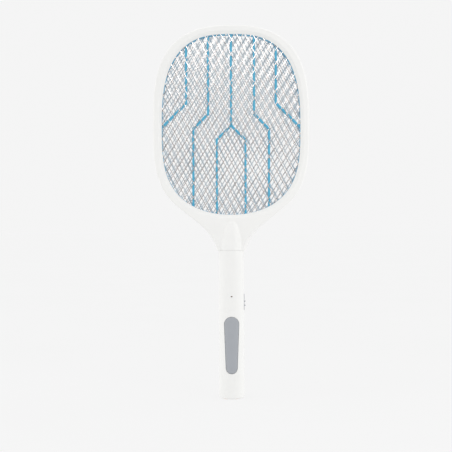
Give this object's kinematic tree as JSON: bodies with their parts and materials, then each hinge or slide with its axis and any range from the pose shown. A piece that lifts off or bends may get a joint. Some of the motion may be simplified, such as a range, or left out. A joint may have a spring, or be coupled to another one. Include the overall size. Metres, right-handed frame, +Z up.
{
  "type": "electric fly swatter",
  "caption": "Racket-shaped electric insect swatter: oval white head with layered wire meshes on blue spacer ribs, and a slim straight handle with a grey press key.",
  "frame": {"origin": "middle of the flat end face of the handle, where the swatter stands in its dock", "axes": "+Z up along the handle to the head, -Y the front with the press key, +X to the right seen from the front, the side of the slide switch"},
  "size_m": [0.216, 0.0327, 0.516],
  "materials": {
    "white_plastic": "satin moulded ABS",
    "blue_plastic": "satin moulded, bright blue",
    "mesh_wire": "drawn wire, satin",
    "contact_metal": "satin copper",
    "red_insulation": "satin silicone",
    "white_insulation": "satin",
    "dark_insulation": "satin",
    "screw_steel": "zinc plated",
    "end_plastic": "satin",
    "cell_sleeve": "shrink sleeve",
    "tab_metal": "nickel plated",
    "foam": "foam",
    "board_laminate": "solder mask",
    "ferrite": "ground ferrite",
    "winding_tape": "polyester tape",
    "capacitor_case": "dipped epoxy",
    "resistor_case": "lacquered",
    "dark_plastic": "moulded epoxy",
    "lamp_resin": "tinted resin",
    "lens_resin": "dark tinted",
    "plunger_plastic": "moulded",
    "grey_plastic": "satin grey"
  },
  "bodies": {
    "racket": {"head_front_cover": "white_plastic", "head_rear_cover": "white_plastic", "handle_front_shell": "white_plastic", "handle_rear_shell": "white_plastic", "front_guard_mesh": "mesh_wire", "live_mesh": "mesh_wire", "rear_guard_mesh": "mesh_wire", "front_spacer": "blue_plastic", "rear_spacer": "blue_plastic", "live_terminal": "contact_metal", "guard_terminals": "contact_metal", "charge_contacts": "contact_metal", "live_lead": "red_insulation", "guard_leads": "white_insulation", "charge_leads": "dark_insulation", "battery_leads": "dark_insulation", "head_screws": "screw_steel", "handle_screws": "screw_steel", "board_screws": "screw_steel", "key_hinge_pin": "screw_steel", "end_cap": "end_plastic", "battery_cell": "cell_sleeve", "battery_tabs": "tab_metal", "battery_pad": "foam", "main_board": "board_laminate", "transformer_core": "ferrite", "transformer_winding": "winding_tape", "storage_capacitors": "capacitor_case", "rectifier_diodes": "dark_plastic", "resistors": "resistor_case", "control_chip": "dark_plastic", "drive_transistor": "dark_plastic", "indicator_lamp": "lamp_resin", "indicator_lens": "lens_resin", "key_switch_body": "dark_plastic", "power_switch_body": "tab_metal"},
    "key": {"press_key": "grey_plastic"},
    "plunger": {"key_switch_plunger": "plunger_plastic"},
    "slider": {"power_slide_knob": "grey_plastic", "power_switch_lever": "dark_plastic"}
  },
  "joints": [
    {"name": "key_press", "type": "hinge", "parent": "racket", "child": "key", "pos_m": [0, -0.0104, 0.039], "axis": [-1, 0, 0], "range_deg": [0, 0.9], "stiffness_Nm_per_rad": 6, "springref_deg": -0.57},
    {"name": "switch_click", "type": "slide", "parent": "racket", "child": "plunger", "axis": [0, 1, 0], "range_m": [0, 0.00095]},
    {"name": "power_slide", "type": "slide", "parent": "racket", "child": "slider", "axis": [0, 0, 1], "range_m": [0, 0.004]}
  ],
  "couplings": [
    {"joint": "switch_click", "follows": "key_press", "m_per_rad": 0.0555}
  ]
}
